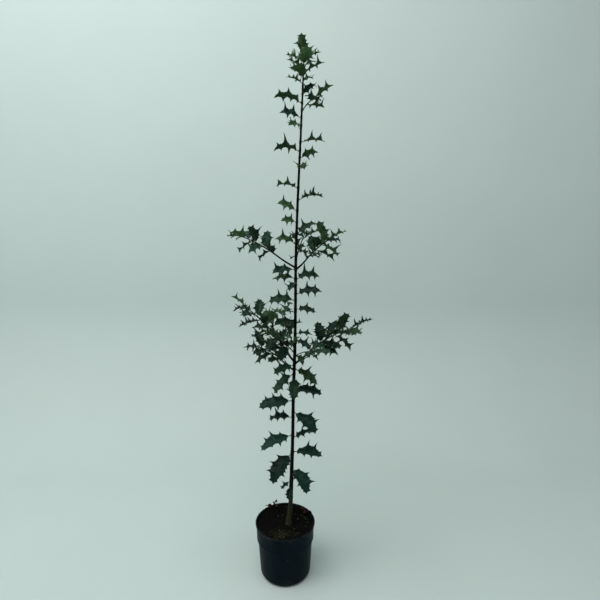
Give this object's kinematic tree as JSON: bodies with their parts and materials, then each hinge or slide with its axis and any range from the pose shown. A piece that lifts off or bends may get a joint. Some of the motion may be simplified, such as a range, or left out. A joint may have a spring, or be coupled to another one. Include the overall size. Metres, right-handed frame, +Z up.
{
  "type": "potted holly tree",
  "caption": "Young holly tree with one straight leader, short side boughs and spiny evergreen leaves, standing in a round nursery pot.",
  "frame": {"origin": "middle of the pot's flat underside", "axes": "+Z up along the stem, +X to the right and +Y away from the viewer, as the plant is seen in the picture"},
  "size_m": [0.3237, 0.2409, 1.1831],
  "materials": {
    "pot_plastic": "satin",
    "compost": "matte",
    "bark": "matte",
    "holly_leaf": "satin"
  },
  "bodies": {
    "root": {"pot": "pot_plastic", "compost": "compost", "trunk": "bark", "bough_lower_left": "bark", "bough_lower_right": "bark", "bough_lowest_left": "bark", "bough_upper_left": "bark", "bough_upper_right": "bark", "foliage_leader": "holly_leaf", "foliage_lower_back": "holly_leaf", "foliage_lower_front": "holly_leaf", "foliage_lower_left": "holly_leaf", "foliage_lower_right": "holly_leaf", "foliage_lowest_left": "holly_leaf", "foliage_right_spur": "holly_leaf", "foliage_right_twig": "holly_leaf", "foliage_upper_back": "holly_leaf", "foliage_upper_left": "holly_leaf", "foliage_upper_right": "holly_leaf", "trunk_leaf_01": "holly_leaf", "trunk_leaf_02": "holly_leaf", "trunk_leaf_03": "holly_leaf", "trunk_leaf_04": "holly_leaf", "trunk_leaf_05": "holly_leaf", "trunk_leaf_06": "holly_leaf", "trunk_leaf_07": "holly_leaf", "trunk_leaf_08": "holly_leaf", "trunk_leaf_09": "holly_leaf", "trunk_leaf_10": "holly_leaf", "trunk_leaf_11": "holly_leaf", "trunk_leaf_12": "holly_leaf", "trunk_leaf_13": "holly_leaf", "trunk_leaf_14": "holly_leaf", "trunk_leaf_15": "holly_leaf", "trunk_leaf_16": "holly_leaf", "trunk_leaf_17": "holly_leaf", "trunk_leaf_18": "holly_leaf", "trunk_leaf_19": "holly_leaf", "trunk_leaf_20": "holly_leaf", "trunk_leaf_21": "holly_leaf", "trunk_leaf_22": "holly_leaf", "trunk_leaf_23": "holly_leaf", "trunk_leaf_24": "holly_leaf", "trunk_leaf_25": "holly_leaf", "trunk_leaf_26": "holly_leaf", "trunk_leaf_27": "holly_leaf", "trunk_leaf_28": "holly_leaf", "trunk_leaf_29": "holly_leaf", "trunk_leaf_30": "holly_leaf", "trunk_leaf_31": "holly_leaf", "trunk_leaf_32": "holly_leaf", "trunk_leaf_33": "holly_leaf", "trunk_leaf_34": "holly_leaf", "trunk_leaf_35": "holly_leaf", "trunk_leaf_36": "holly_leaf", "trunk_leaf_37": "holly_leaf", "trunk_leaf_38": "holly_leaf", "trunk_leaf_39": "holly_leaf", "trunk_leaf_40": "holly_leaf"}
  },
  "joints": []
}
